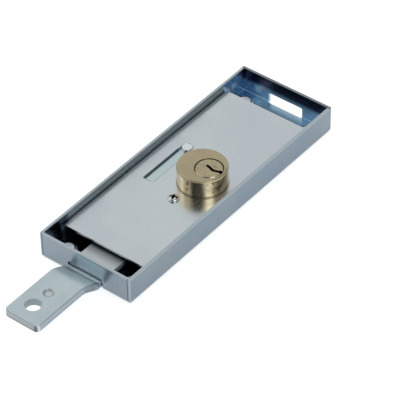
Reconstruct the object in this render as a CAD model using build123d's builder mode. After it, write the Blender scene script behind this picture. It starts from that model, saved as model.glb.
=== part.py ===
from build123d import *
import os
from math import acos, cos, pi, radians, sin, tan

# Side lock for a roller shutter, in millimetres.
# A folded steel tray holds a flat bolt, which a toothed pinion on the plug of a
# round pin cylinder draws in and out. X runs along the tray and the bolt leaves
# it at the -X end. Z points away from the back, which lies on the shutter, and
# the origin is the middle of the back. The lock is drawn with its bolt drawn in.

# Tray
TRAY_L = 155.0
TRAY_W = 54.0
TRAY_H = 15.0
SHEET_T = 1.5
TRAY_FOLD_R = 1.8
TRAY_FOLD_INNER_R = 0.4
TRAY_CORNER_R = 0.7
RIM_R = 0.25
SEAM_W = 0.3
SEAM_DEPTH = 0.5
END_SLOT_SIDE_GAP = 0.3
END_SLOT_TOP_GAP = 1.0
END_SLOT_CORNER_R = 0.9
END_SLOT_IN_FLOOR = 1.1

# Fixing holes with a raised burr
FIXING_FROM_END = 10.0
FIXING_FROM_SIDE = 8.0
FIXING_HOLE_R = 3.0
BURR_T = 0.9
BURR_H = 1.3
BURR_EDGE_R = 0.35
BURR_FOOT_R = 0.5

# Cover plate
COVER_T = 1.0
COVER_FROM_BOLT_END = 12.9
COVER_FROM_FAR_END = 15.5
COVER_BEND_R = 1.7
COVER_SIDE_GAP = 0.05
COVER_FOOT_CHAMFER = 0.45

# Guide slot in the cover plate and the stud that runs in it
GUIDE_FROM_SLIDER_EDGE = 7.5
GUIDE_STUD_X = 15.0
GUIDE_STUD_R = 2.7
GUIDE_STUD_PROUD = 0.35
GUIDE_STUD_SHANK_R = 1.5
GUIDE_STUD_FOOT_R = 2.5
GUIDE_STUD_FOOT_T = 0.8
GUIDE_SIDE_GAP = 0.1
GUIDE_END_GAP = 0.3
GUIDE_OVERRUN = 2.0
GUIDE_SLOT_CORNER_R = 0.3
GUIDE_SLOT_EDGE = 0.15

# Bolt
BOLT_W = 20.0
BOLT_T = 4.0
BOLT_FLOOR_GAP = 0.1
BOLT_OUT = 44.5
BOLT_END_MARGIN = 1.0
CRANK_FROM_TRAY = 2.4
CRANK_RISE = 4.6
CRANK_RUN = 9.1
CRANK_INNER_FOLD_R = 2.6
CRANK_OUTER_FOLD_R = 10.0
BOLT_CORNER_R = 2.2
BOLT_EDGE_R = 0.4
BOLT_HOLE_R = 4.0
BOLT_HOLE_FROM_END = 10.0
BOLT_HOLE_Y = 1.0
BUTTON_R = 2.8
BUTTON_FLAT_R = 1.7
BUTTON_DEPTH = 0.75
BUTTON_FROM_END = 20.2
BUTTON_Y = 0.6

# Slider plate: a strip under the guide slot with a tab across the bolt, and its rivets
SLIDER_T = 2.0
SLIDER_TOP_GAP = 0.1
SLIDER_LIFT = 2.3
SLIDER_SIDE_GAP = 0.6
SLIDER_FRONT_GAP = 0.6
SLIDER_W = 12.6
SLIDER_TAB_L = 14.0
SLIDER_TAB_LAP = 4.0
SLIDER_CORNER_R = 2.0
RIVET_FROM_TAB_END = 3.5
RIVET_Y = 0.0
RIVET_R = 1.8
RIVET_COLLAR_R = 2.5
RIVET_HEAD_R = 2.4

# Rack and pinion: module 1, eight teeth, so that one turn moves the bolt 25.13 mm
MODULE = 1.0
PINION_TEETH = 8
PRESSURE_ANGLE = 25.0
PINION_ADDENDUM = 0.9
RACK_ADDENDUM = 0.7
TIP_GAP = 0.2
TOOTH_THINNING = 0.14
PINION_FLANGE_LIP = 1.0
PINION_FLANGE_T = 1.5
PINION_FLANGE_GAP = 0.2
RACK_INSET = 2.0
RACK_SPARE_SPACES = 1
RACK_END_ROOM = 1.6

# Cylinder
CYL_R = 12.4
CYL_RISE = 10.2
CYL_EDGE = 0.9
CYL_HOLE_GAP = 0.1
CYL_FLANGE_T = 1.5
CYL_FLANGE_LIP = 0.8
CYL_EAR_R = 4.0
PLUG_WALL = 1.6
PLUG_R = 6.3
PLUG_RIM_LIP = 0.5
PLUG_RIM_T = 1.4
PLUG_RIM_EDGE = 0.4
PLUG_BORE_EDGE = 0.3
PLUG_FIT = 0.05
TAIL_R = 2.5
TAIL_FLAT = 2.0
TAIL_FIT = 0.03
TAIL_FLOOR_GAP = 0.15
TAIL_LIP = 0.15
CLIP_T = 0.6
CLIP_GROOVE_DEPTH = 0.4
CLIP_MOUTH = 3.0

# Snap ring on the foot of the cylinder
RING_T = 0.6
RING_PROUD = 0.3
RING_GROOVE_DEPTH = 0.4
RING_FIT = 0.03
RING_GAP = 3.0

# Keyway: middle line of the slot, from its closed end to the edge of the plug
KEYWAY_END_WALL = 1.2
KEYWAY_W = 1.5
KEYWAY_STEPS = ((1.0, 2.4), (0.9, 1.2), (0.5, -0.3), (0.0, -1.8), (0.0, -3.0), (0.4, -4.1), (0.8, -5.3), (1.1, -7.4))
KEYWAY_MOUTH_L = 1.9
KEYWAY_MOUTH_W = 2.1
KEYWAY_MOUTH = (1.05, -6.1)

# Pin stacks, on the +Y side of the plug
PIN_COUNT = 4
PIN_FIRST_DEPTH = 2.95
PIN_LAST_RISE = 1.55
PIN_R = 1.1
PIN_FIT = 0.05
PIN_EDGE = 0.25
KEY_PIN_LENGTHS = (4.4, 5.2, 4.0, 4.8)
KEY_PIN_TIP_R = 0.5
KEY_PIN_TIP_L = 0.7
CHAMBER_FLOOR = -0.6
SHEAR_GAP = 0.05
DRIVER_PIN_SHARE = 0.436
SPRING_R = 0.85
SPRING_WIRE_R = 0.15
SPRING_TURNS = 5
SPRING_END_GAP = 0.03
CAP_L = 1.5
CAP_SUNK = 0.75
CAP_FIT = 0.02

# Fixing screw
SCREW_FROM_CYL = 5.8
SCREW_ASIDE = 3.2
SCREW_R = 1.5
SCREW_FIT = 0.05
SCREW_HEAD_R = 2.8
SCREW_HEAD_H = 1.7
SCREW_HEAD_CROWN = 1.1
RECESS_L = 3.4
RECESS_W = 0.9
RECESS_DEPTH = 1.3
RECESS_TAPER = 10.0
RECESS_TURN = 20.0

# Sizes that follow from the ones above
INNER_L = TRAY_L - 2 * SHEET_T
INNER_W = TRAY_W - 2 * SHEET_T
FIXING_PITCH_X = TRAY_L - 2 * FIXING_FROM_END
FIXING_PITCH_Y = TRAY_W - 2 * FIXING_FROM_SIDE
BOLT_BOTTOM = SHEET_T + BOLT_FLOOR_GAP
BOLT_TOP = BOLT_BOTTOM + BOLT_T
SLIDER_BOTTOM = BOLT_TOP + SLIDER_LIFT
SLIDER_TOP = SLIDER_BOTTOM + SLIDER_T
COVER_BOTTOM = SLIDER_TOP + SLIDER_TOP_GAP
COVER_TOP = COVER_BOTTOM + COVER_T
COVER_W = INNER_W - 2 * COVER_SIDE_GAP
COVER_BEND_INNER_R = COVER_BEND_R - COVER_T
COVER_X0 = COVER_FROM_BOLT_END - INNER_L / 2
COVER_L = INNER_L - COVER_FROM_BOLT_END - COVER_FROM_FAR_END
END_SLOT_W = BOLT_W + 2 * END_SLOT_SIDE_GAP
END_SLOT_TOP = BOLT_TOP + END_SLOT_TOP_GAP
PITCH_R = MODULE * PINION_TEETH / 2
RACK_PITCH = pi * MODULE
BOLT_TRAVEL = 2 * pi * PITCH_R
PITCH_LINE_Y = RACK_INSET - BOLT_W / 2
RACK_TIP_Y = PITCH_LINE_Y - RACK_ADDENDUM
RACK_ROOT_Y = PITCH_LINE_Y + PINION_ADDENDUM + TIP_GAP
PINION_TIP_R = PITCH_R + PINION_ADDENDUM
PINION_ROOT_R = PITCH_R - RACK_ADDENDUM - TIP_GAP
PINION_FLANGE_R = PLUG_R + PINION_FLANGE_LIP
CLIP_R = PINION_ROOT_R
TOOTH_W = RACK_PITCH / 2 - TOOTH_THINNING
PLUG_Y = PITCH_LINE_Y - PITCH_R
PLUG_RIM_R = PLUG_R + PLUG_RIM_LIP
CYL_Y = PLUG_Y + CYL_R - PLUG_RIM_R - PLUG_WALL
CYL_TOP = COVER_TOP + CYL_RISE
CYL_FLANGE_R = CYL_R + CYL_FLANGE_LIP
CYL_BOTTOM = COVER_BOTTOM - CYL_FLANGE_T
RING_R = CYL_R + RING_PROUD
PINION_TOP = CYL_BOTTOM - PINION_FLANGE_GAP
PINION_FLANGE_BOTTOM = PINION_TOP - PINION_FLANGE_T
TAIL_END = SHEET_T + TAIL_FLOOR_GAP
PINION_BOTTOM = TAIL_END + TAIL_LIP + CLIP_T
KEYWAY_FLOOR = CYL_BOTTOM + KEYWAY_END_WALL
SHEAR_Y = PLUG_Y + PLUG_R
CHAMBER_R = PIN_R + PIN_FIT
DRIVER_PIN_Y0 = SHEAR_Y + SHEAR_GAP
CAP_Y1 = CYL_Y + CYL_R - CAP_SUNK
DRIVER_PIN_L = DRIVER_PIN_SHARE * (CAP_Y1 - CAP_L - DRIVER_PIN_Y0)
DRIVER_PIN_Y1 = DRIVER_PIN_Y0 + DRIVER_PIN_L
SPRING_ROOM = CAP_Y1 - CAP_L - DRIVER_PIN_Y1
PIN_PITCH = (CYL_TOP - PIN_FIRST_DEPTH - CYL_BOTTOM - PIN_LAST_RISE) / (PIN_COUNT - 1)
PIN_HEIGHTS = [CYL_TOP - PIN_FIRST_DEPTH - index * PIN_PITCH for index in range(PIN_COUNT)]
SCREW_X = -CYL_R - SCREW_FROM_CYL
SCREW_Y = CYL_Y + SCREW_ASIDE
SLIDER_Y0 = CYL_Y + CYL_FLANGE_R + SLIDER_SIDE_GAP
GUIDE_Y = SLIDER_Y0 + GUIDE_FROM_SLIDER_EDGE
GUIDE_STUD_TOP = COVER_TOP + GUIDE_STUD_PROUD
GUIDE_SLOT_W = 2 * (GUIDE_STUD_R + GUIDE_SIDE_GAP)
GUIDE_SLOT_X1 = GUIDE_STUD_X + GUIDE_STUD_R + GUIDE_END_GAP
GUIDE_SLOT_X0 = GUIDE_STUD_X - GUIDE_STUD_R - BOLT_TRAVEL - GUIDE_OVERRUN
GUIDE_ROUND_X = GUIDE_SLOT_X1 - GUIDE_SLOT_W / 2
SLIDER_X0 = GUIDE_SLOT_X0 + SLIDER_FRONT_GAP
SLIDER_TAB_X0 = CYL_FLANGE_R + SLIDER_SIDE_GAP + BOLT_TRAVEL
SLIDER_X1 = SLIDER_TAB_X0 + SLIDER_TAB_L
RIVET_XS = (SLIDER_TAB_X0 + RIVET_FROM_TAB_END, SLIDER_X1 - RIVET_FROM_TAB_END)
BOLT_OUTER_TOP = BOLT_TOP + CRANK_RISE
BOLT_OUTER_END = -TRAY_L / 2 - BOLT_OUT
BOLT_INNER_END = SLIDER_X1 + BOLT_END_MARGIN
CRANK_X0 = -TRAY_L / 2 - CRANK_FROM_TRAY

os.makedirs("parts", exist_ok=True)


def write(piece, name):
    """Label a finished piece and write its file."""
    piece.part.label = name
    export_step(piece.part, f"parts/{name}.step")


def upright_plane(y):
    """Plane across the lock at the given y, with z up on it, that extrudes towards -Y."""
    return Plane.XZ.offset(-y)


# Housing tray
with BuildPart() as housing_tray:
    with BuildSketch():
        Rectangle(TRAY_L, TRAY_W)
    extrude(amount=TRAY_H)
    fillet(housing_tray.edges().filter_by(Axis.Z), radius=TRAY_CORNER_R)
    fillet(housing_tray.faces().sort_by(Axis.Z)[0].edges(), radius=TRAY_FOLD_R)
    with BuildSketch(Plane.XY.offset(SHEET_T)):
        Rectangle(INNER_L, INNER_W)
    extrude(amount=TRAY_H, mode=Mode.SUBTRACT)
    floor_face = housing_tray.faces().filter_by(Plane.XY).sort_by(Axis.Z)[1]
    fillet(floor_face.edges(), radius=TRAY_FOLD_INNER_R)
    rim_face = housing_tray.faces().filter_by(Plane.XY).sort_by(Axis.Z)[-1]
    fillet(rim_face.edges(), radius=RIM_R)

    # Butt seams of the folded walls, seen on the end walls
    with BuildSketch(Plane.XY.offset(TRAY_FOLD_R)):
        with GridLocations(TRAY_L, INNER_W, 2, 2):
            Rectangle(2 * SEAM_DEPTH, SEAM_W)
    extrude(amount=TRAY_H, mode=Mode.SUBTRACT)

    # Bolt slots, cut through the folds into the floor
    for side in (-1, 1):
        with BuildSketch(Plane.YZ.offset(side * TRAY_L / 2)) as end_slot:
            with Locations((0, 0)):
                Rectangle(END_SLOT_W, 2 * END_SLOT_TOP)
            fillet(end_slot.vertices(), radius=END_SLOT_CORNER_R)
        extrude(amount=-side * (SHEET_T + END_SLOT_IN_FLOOR), mode=Mode.SUBTRACT)

    # Fixing holes
    with BuildSketch(Plane.XY.offset(SHEET_T)):
        with GridLocations(FIXING_PITCH_X, FIXING_PITCH_Y, 2, 2):
            Circle(FIXING_HOLE_R + BURR_T)
    extrude(amount=BURR_H)
    burr_edges = housing_tray.edges().filter_by(GeomType.CIRCLE)
    burr_edges = burr_edges.filter_by(lambda edge: abs(edge.radius - FIXING_HOLE_R - BURR_T) < 0.01)
    fillet(burr_edges.group_by(Axis.Z)[-1], radius=BURR_EDGE_R)
    fillet(burr_edges.group_by(Axis.Z)[0], radius=BURR_FOOT_R)
    with BuildSketch():
        with GridLocations(FIXING_PITCH_X, FIXING_PITCH_Y, 2, 2):
            Circle(FIXING_HOLE_R)
    extrude(amount=SHEET_T + BURR_H, mode=Mode.SUBTRACT)
    hole_edges = housing_tray.edges().filter_by(GeomType.CIRCLE)
    hole_edges = hole_edges.filter_by(lambda edge: abs(edge.radius - FIXING_HOLE_R) < 0.01)
    fillet(hole_edges.group_by(Axis.Z)[0], radius=BURR_T)
write(housing_tray, "housing_tray")

# Cover plate: a channel whose side flanges stand on the floor of the tray
with BuildPart() as cover_plate:
    with BuildSketch(Plane.YZ.offset(COVER_X0)) as section:
        with Locations((0, (COVER_TOP + SHEET_T) / 2)):
            Rectangle(COVER_W, COVER_TOP - SHEET_T)
        fillet(section.vertices().group_by(Axis.Y)[-1], radius=COVER_BEND_R)
        chamfer(section.vertices().group_by(Axis.Y)[0], length=COVER_FOOT_CHAMFER)
        with BuildSketch(Plane.YZ.offset(COVER_X0), mode=Mode.SUBTRACT) as inside:
            with Locations((0, (COVER_BOTTOM + SHEET_T) / 2 - COVER_BEND_R)):
                Rectangle(COVER_W - 2 * COVER_T, COVER_BOTTOM - SHEET_T + 2 * COVER_BEND_R)
            fillet(inside.vertices().group_by(Axis.Y)[-1], radius=COVER_BEND_INNER_R)
    extrude(amount=COVER_L)

    # Guide slot, square at the bolt end and round where the stud rests
    with BuildSketch(Plane.XY.offset(COVER_BOTTOM)) as guide_slot:
        with Locations(((GUIDE_SLOT_X0 + GUIDE_ROUND_X) / 2, GUIDE_Y)):
            Rectangle(GUIDE_ROUND_X - GUIDE_SLOT_X0, GUIDE_SLOT_W)
        fillet(guide_slot.vertices().group_by(Axis.X)[0], radius=GUIDE_SLOT_CORNER_R)
        with Locations((GUIDE_ROUND_X, GUIDE_Y)):
            Circle(GUIDE_SLOT_W / 2)
    extrude(amount=COVER_T, mode=Mode.SUBTRACT)
    cover_face = cover_plate.faces().filter_by(Plane.XY).sort_by(Axis.Z)[-1]
    chamfer(cover_face.inner_wires()[0].edges(), length=GUIDE_SLOT_EDGE)

    # Holes for the cylinder and the fixing screw
    with BuildSketch(Plane.XY.offset(COVER_BOTTOM)):
        with Locations((0, CYL_Y)):
            Circle(CYL_R + CYL_HOLE_GAP)
        with Locations((SCREW_X, SCREW_Y)):
            Circle(SCREW_R + SCREW_FIT)
    extrude(amount=COVER_T, mode=Mode.SUBTRACT)
write(cover_plate, "cover_plate")

# Bolt: a bar swept along its cranked middle line, with a tight fold at the tray and a wide one outside it
with BuildPart() as bolt:
    middle_in = BOLT_BOTTOM + BOLT_T / 2
    middle_out = BOLT_OUTER_TOP - BOLT_T / 2
    with BuildLine(Plane.XZ) as middle_line:
        FilletPolyline(
            (BOLT_OUTER_END, middle_out),
            (CRANK_X0 - CRANK_RUN, middle_out),
            (CRANK_X0, middle_in),
            (BOLT_INNER_END, middle_in),
            radius=(CRANK_OUTER_FOLD_R, CRANK_INNER_FOLD_R),
        )
    with BuildSketch(Plane.YZ.offset(BOLT_OUTER_END)):
        with Locations((0, middle_out)):
            Rectangle(BOLT_W, BOLT_T)
    sweep(path=middle_line.wires()[0])
    fillet(bolt.edges().filter_by(Axis.Z).group_by(Axis.X)[0], radius=BOLT_CORNER_R)
    long_edges = bolt.edges().filter_by(lambda edge: abs(abs(edge.center().Y) - BOLT_W / 2) < 0.01)
    long_edges = long_edges.filter_by(lambda edge: abs(edge.bounding_box().size.Y) < 0.01)
    long_edges = long_edges.filter_by(lambda edge: edge.bounding_box().size.X > 0.01)
    fillet(long_edges, radius=BOLT_EDGE_R)

    # Hole and pressed button of the outer end
    with BuildSketch(Plane.XY.offset(BOLT_OUTER_TOP)):
        with Locations((BOLT_OUTER_END + BOLT_HOLE_FROM_END, BOLT_HOLE_Y)):
            Circle(BOLT_HOLE_R)
    extrude(amount=-BOLT_T, mode=Mode.SUBTRACT)
    button_x = BOLT_OUTER_END + BUTTON_FROM_END
    button_z = BOLT_OUTER_TOP - BUTTON_DEPTH / 2
    with Locations((button_x, BUTTON_Y, button_z)):
        Cone(BUTTON_FLAT_R, BUTTON_R, BUTTON_DEPTH, mode=Mode.SUBTRACT)
    with Locations((button_x, BUTTON_Y, button_z - BOLT_T)):
        Cone(BUTTON_FLAT_R, BUTTON_R, BUTTON_DEPTH)

    # Rack: the edge is cut back to the tips, then the spaces are cut to the roots
    first_space = -RACK_SPARE_SPACES
    last_space = PINION_TEETH + RACK_SPARE_SPACES
    rack_x0 = (first_space - 0.5) * RACK_PITCH - RACK_END_ROOM
    rack_x1 = (last_space + 0.5) * RACK_PITCH + RACK_END_ROOM
    with BuildSketch(Plane.XY.offset(BOLT_BOTTOM)):
        with Locations(((rack_x0 + rack_x1) / 2, (RACK_TIP_Y - BOLT_W / 2) / 2)):
            Rectangle(rack_x1 - rack_x0, BOLT_W / 2 + RACK_TIP_Y)
    extrude(amount=BOLT_T, mode=Mode.SUBTRACT)
    flank_slope = tan(radians(PRESSURE_ANGLE))
    tip_half = (RACK_PITCH - TOOTH_W) / 2 + RACK_ADDENDUM * flank_slope
    root_half = (RACK_PITCH - TOOTH_W) / 2 - (RACK_ROOT_Y - PITCH_LINE_Y) * flank_slope
    with BuildSketch(Plane.XY.offset(BOLT_BOTTOM)):
        for space in range(first_space, last_space + 1):
            space_x = space * RACK_PITCH
            with BuildLine():
                Polyline(
                    (space_x - tip_half, RACK_TIP_Y),
                    (space_x - root_half, RACK_ROOT_Y),
                    (space_x + root_half, RACK_ROOT_Y),
                    (space_x + tip_half, RACK_TIP_Y),
                    close=True,
                )
            make_face()
    extrude(amount=BOLT_T, mode=Mode.SUBTRACT)

    # Holes for the slider rivets
    with BuildSketch(Plane.XY.offset(BOLT_BOTTOM)):
        with Locations(*[(x, RIVET_Y) for x in RIVET_XS]):
            Circle(RIVET_R)
    extrude(amount=BOLT_T, mode=Mode.SUBTRACT)
write(bolt, "bolt")

# Slider plate: rides on the bolt, just under the cover plate
with BuildPart() as slider_plate:
    with BuildSketch(Plane.XY.offset(SLIDER_BOTTOM)) as slider_outline:
        with BuildLine():
            Polyline(
                (SLIDER_X0, SLIDER_Y0),
                (SLIDER_TAB_X0, SLIDER_Y0),
                (SLIDER_TAB_X0, RIVET_Y - SLIDER_TAB_LAP),
                (SLIDER_X1, RIVET_Y - SLIDER_TAB_LAP),
                (SLIDER_X1, SLIDER_Y0 + SLIDER_W),
                (SLIDER_X0, SLIDER_Y0 + SLIDER_W),
                close=True,
            )
        make_face()
        fillet(slider_outline.vertices(), radius=SLIDER_CORNER_R)
        with Locations(*[(x, RIVET_Y) for x in RIVET_XS]):
            Circle(RIVET_R, mode=Mode.SUBTRACT)
        with Locations((GUIDE_STUD_X, GUIDE_Y)):
            Circle(GUIDE_STUD_SHANK_R, mode=Mode.SUBTRACT)
    extrude(amount=SLIDER_T)
    rivet_holes = slider_plate.edges().filter_by(GeomType.CIRCLE).group_by(Axis.Z)[-1]
    rivet_holes = rivet_holes.filter_by(lambda edge: abs(edge.radius - RIVET_R) < 0.01)
    chamfer(rivet_holes, length=RIVET_HEAD_R - RIVET_R)
write(slider_plate, "slider_plate")

# Slider rivets: collared spacers, upset flush with the slider plate
for rivet_name, rivet_x in zip(("front_slider_rivet", "rear_slider_rivet"), RIVET_XS):
    with BuildPart() as slider_rivet:
        with BuildSketch(upright_plane(RIVET_Y)):
            with BuildLine():
                Polyline(
                    (rivet_x, BOLT_BOTTOM),
                    (rivet_x + RIVET_R, BOLT_BOTTOM),
                    (rivet_x + RIVET_R, BOLT_TOP),
                    (rivet_x + RIVET_COLLAR_R, BOLT_TOP),
                    (rivet_x + RIVET_COLLAR_R, SLIDER_BOTTOM),
                    (rivet_x + RIVET_R, SLIDER_BOTTOM),
                    (rivet_x + RIVET_R, SLIDER_TOP - RIVET_HEAD_R + RIVET_R),
                    (rivet_x + RIVET_HEAD_R, SLIDER_TOP),
                    (rivet_x, SLIDER_TOP),
                    close=True,
                )
            make_face()
        revolve(axis=Axis((rivet_x, RIVET_Y, 0), (0, 0, 1)))
    write(slider_rivet, rivet_name)

# Guide stud: riveted through the slider plate, its head runs in the guide slot
with BuildPart() as guide_stud:
    with BuildSketch(upright_plane(GUIDE_Y)):
        with BuildLine():
            Polyline(
                (GUIDE_STUD_X, SLIDER_BOTTOM - GUIDE_STUD_FOOT_T),
                (GUIDE_STUD_X + GUIDE_STUD_FOOT_R, SLIDER_BOTTOM - GUIDE_STUD_FOOT_T),
                (GUIDE_STUD_X + GUIDE_STUD_FOOT_R, SLIDER_BOTTOM),
                (GUIDE_STUD_X + GUIDE_STUD_SHANK_R, SLIDER_BOTTOM),
                (GUIDE_STUD_X + GUIDE_STUD_SHANK_R, SLIDER_TOP),
                (GUIDE_STUD_X + GUIDE_STUD_R, SLIDER_TOP),
                (GUIDE_STUD_X + GUIDE_STUD_R, GUIDE_STUD_TOP),
                (GUIDE_STUD_X, GUIDE_STUD_TOP),
                close=True,
            )
        make_face()
    revolve(axis=Axis((GUIDE_STUD_X, GUIDE_Y, 0), (0, 0, 1)))
    fillet(guide_stud.edges().filter_by(GeomType.CIRCLE).group_by(Axis.Z)[-1], radius=GUIDE_STUD_PROUD)
write(guide_stud, "guide_stud")

# Cylinder body: turned barrel on a flange whose ear takes the fixing screw
with BuildPart() as cylinder_body:
    with BuildSketch(Plane.XY.offset(CYL_BOTTOM)):
        with Locations((0, CYL_Y)):
            Circle(CYL_FLANGE_R)
        with Locations((SCREW_X, SCREW_Y)):
            Circle(CYL_EAR_R)
        make_hull()
    extrude(amount=CYL_FLANGE_T)
    with BuildSketch(Plane.XY.offset(CYL_BOTTOM)):
        with Locations((0, CYL_Y)):
            Circle(CYL_R)
    extrude(amount=CYL_TOP - CYL_BOTTOM)
    fillet(cylinder_body.edges().filter_by(GeomType.CIRCLE).group_by(Axis.Z)[-1], radius=CYL_EDGE)

    # Groove of the snap ring
    with BuildSketch(Plane.XY.offset(COVER_TOP)):
        with Locations((0, CYL_Y)):
            Circle(CYL_R)
            Circle(CYL_R - RING_GROOVE_DEPTH, mode=Mode.SUBTRACT)
    extrude(amount=RING_T + RING_FIT, mode=Mode.SUBTRACT)

    # Bore and counterbore for the plug, and the thread hole of the ear
    with BuildSketch(Plane.XY.offset(CYL_TOP)):
        with Locations((0, PLUG_Y)):
            Circle(PLUG_RIM_R + PLUG_FIT)
    extrude(amount=-PLUG_RIM_T - PLUG_FIT, mode=Mode.SUBTRACT)
    bore_edge = cylinder_body.edges().filter_by(GeomType.CIRCLE).group_by(Axis.Z)[-1]
    bore_edge = bore_edge.filter_by(lambda edge: abs(edge.radius - PLUG_RIM_R - PLUG_FIT) < 0.01)
    chamfer(bore_edge, length=PLUG_BORE_EDGE)
    with BuildSketch(Plane.XY.offset(CYL_BOTTOM)):
        with Locations((0, PLUG_Y)):
            Circle(PLUG_R + PLUG_FIT)
        with Locations((SCREW_X, SCREW_Y)):
            Circle(SCREW_R + SCREW_FIT)
    extrude(amount=CYL_TOP - CYL_BOTTOM, mode=Mode.SUBTRACT)

    # Pin chambers, drilled from outside
    with BuildSketch(upright_plane(CYL_Y + CYL_R)):
        with Locations(*[(0, height) for height in PIN_HEIGHTS]):
            Circle(CHAMBER_R)
    extrude(amount=CYL_Y + CYL_R - PLUG_Y, mode=Mode.SUBTRACT)
write(cylinder_body, "cylinder_body")

# Plug: rim and barrel, keyway, the inner parts of the pin chambers, and the tail
with BuildPart() as cylinder_plug:
    with BuildSketch(Plane.XY.offset(CYL_BOTTOM)):
        with Locations((0, PLUG_Y)):
            Circle(PLUG_R)
    extrude(amount=CYL_TOP - CYL_BOTTOM)
    with BuildSketch(Plane.XY.offset(CYL_TOP)):
        with Locations((0, PLUG_Y)):
            Circle(PLUG_RIM_R)
    extrude(amount=-PLUG_RIM_T)
    rim_edge = cylinder_plug.edges().filter_by(GeomType.CIRCLE).group_by(Axis.Z)[-1]
    chamfer(rim_edge, length=PLUG_RIM_EDGE)

    # Keyway
    with BuildSketch(Plane.XY.offset(CYL_TOP)):
        with BuildLine():
            Polyline(*[(x, PLUG_Y + y) for x, y in KEYWAY_STEPS])
        trace(line_width=KEYWAY_W)
        with Locations((KEYWAY_MOUTH[0], PLUG_Y + KEYWAY_MOUTH[1])):
            Rectangle(KEYWAY_MOUTH_W, KEYWAY_MOUTH_L)
    extrude(amount=KEYWAY_FLOOR - CYL_TOP, mode=Mode.SUBTRACT)

    # Pin chambers
    with BuildSketch(upright_plane(PLUG_Y + PLUG_R)):
        with Locations(*[(0, height) for height in PIN_HEIGHTS]):
            Circle(CHAMBER_R)
    extrude(amount=PLUG_R - CHAMBER_FLOOR, mode=Mode.SUBTRACT)

    # Tail with two flats, grooved for the clip
    with BuildSketch(Plane.XY.offset(TAIL_END)):
        with Locations((0, PLUG_Y)):
            Circle(TAIL_R)
            Rectangle(2 * TAIL_R, 2 * TAIL_FLAT, mode=Mode.INTERSECT)
    extrude(amount=CYL_BOTTOM - TAIL_END)
    with BuildSketch(Plane.XY.offset(PINION_BOTTOM - CLIP_T)):
        with Locations((0, PLUG_Y)):
            Circle(TAIL_R)
            Circle(TAIL_R - CLIP_GROOVE_DEPTH, mode=Mode.SUBTRACT)
    extrude(amount=CLIP_T, mode=Mode.SUBTRACT)
write(cylinder_plug, "cylinder_plug")

# Snap ring: its gap faces away from the bolt
with BuildPart() as snap_ring:
    with BuildSketch(Plane.XY.offset(COVER_TOP)):
        with Locations((0, CYL_Y)):
            Circle(RING_R)
            Circle(CYL_R - RING_GROOVE_DEPTH + RING_FIT, mode=Mode.SUBTRACT)
        with Locations((RING_R, CYL_Y)):
            Rectangle(RING_R, RING_GAP, mode=Mode.SUBTRACT)
    extrude(amount=RING_T)
write(snap_ring, "snap_ring")


def polar(radius, angle):
    """Point on a circle round the axis of the plug, the angle in radians."""
    return (radius * cos(angle), PLUG_Y + radius * sin(angle))


def flank_angle(radius):
    """Half the angle that a pinion tooth fills at a radius, from its involute flanks."""
    pressure = radians(PRESSURE_ANGLE)
    local = acos(PITCH_R * cos(pressure) / radius)
    return TOOTH_W / PITCH_R / 2 + (tan(pressure) - pressure) - (tan(local) - local)


# Pinion: teeth under a flange that holds the plug in its bore
with BuildPart() as pinion:
    base_r = PITCH_R * cos(radians(PRESSURE_ANGLE))
    flank_radii = (base_r, (base_r + PINION_TIP_R) / 2, PINION_TIP_R)
    with BuildSketch(Plane.XY.offset(PINION_BOTTOM)):
        with Locations((0, PLUG_Y)):
            Circle(PINION_ROOT_R)
        for tooth in range(PINION_TEETH):
            middle = pi / 2 + tooth * 2 * pi / PINION_TEETH
            left = [polar(radius, middle + flank_angle(radius)) for radius in flank_radii]
            right = [polar(radius, middle - flank_angle(radius)) for radius in flank_radii]
            with BuildLine():
                Polyline(left[0], polar(0.0, 0.0), right[0])
                ThreePointArc(*right)
                ThreePointArc(right[-1], polar(PINION_TIP_R, middle), left[-1])
                ThreePointArc(*left)
            make_face()
    extrude(amount=PINION_FLANGE_BOTTOM - PINION_BOTTOM)
    with BuildSketch(Plane.XY.offset(PINION_FLANGE_BOTTOM)):
        with Locations((0, PLUG_Y)):
            Circle(PINION_FLANGE_R)
    extrude(amount=PINION_FLANGE_T)
    with BuildSketch(Plane.XY.offset(PINION_BOTTOM)):
        with Locations((0, PLUG_Y)):
            Circle(TAIL_R + TAIL_FIT)
            Rectangle(2 * TAIL_R + 2 * TAIL_FIT, 2 * TAIL_FLAT + 2 * TAIL_FIT, mode=Mode.INTERSECT)
    extrude(amount=PINION_TOP - PINION_BOTTOM, mode=Mode.SUBTRACT)
write(pinion, "pinion")

# Clip that holds the pinion on the tail
with BuildPart() as pinion_clip:
    with BuildSketch(Plane.XY.offset(PINION_BOTTOM - CLIP_T)):
        with Locations((0, PLUG_Y)):
            Circle(CLIP_R)
            Circle(TAIL_R - CLIP_GROOVE_DEPTH + TAIL_FIT, mode=Mode.SUBTRACT)
        with Locations((CLIP_R, PLUG_Y)):
            Rectangle(2 * CLIP_R, CLIP_MOUTH, mode=Mode.SUBTRACT)
    extrude(amount=CLIP_T)
write(pinion_clip, "pinion_clip")

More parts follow.
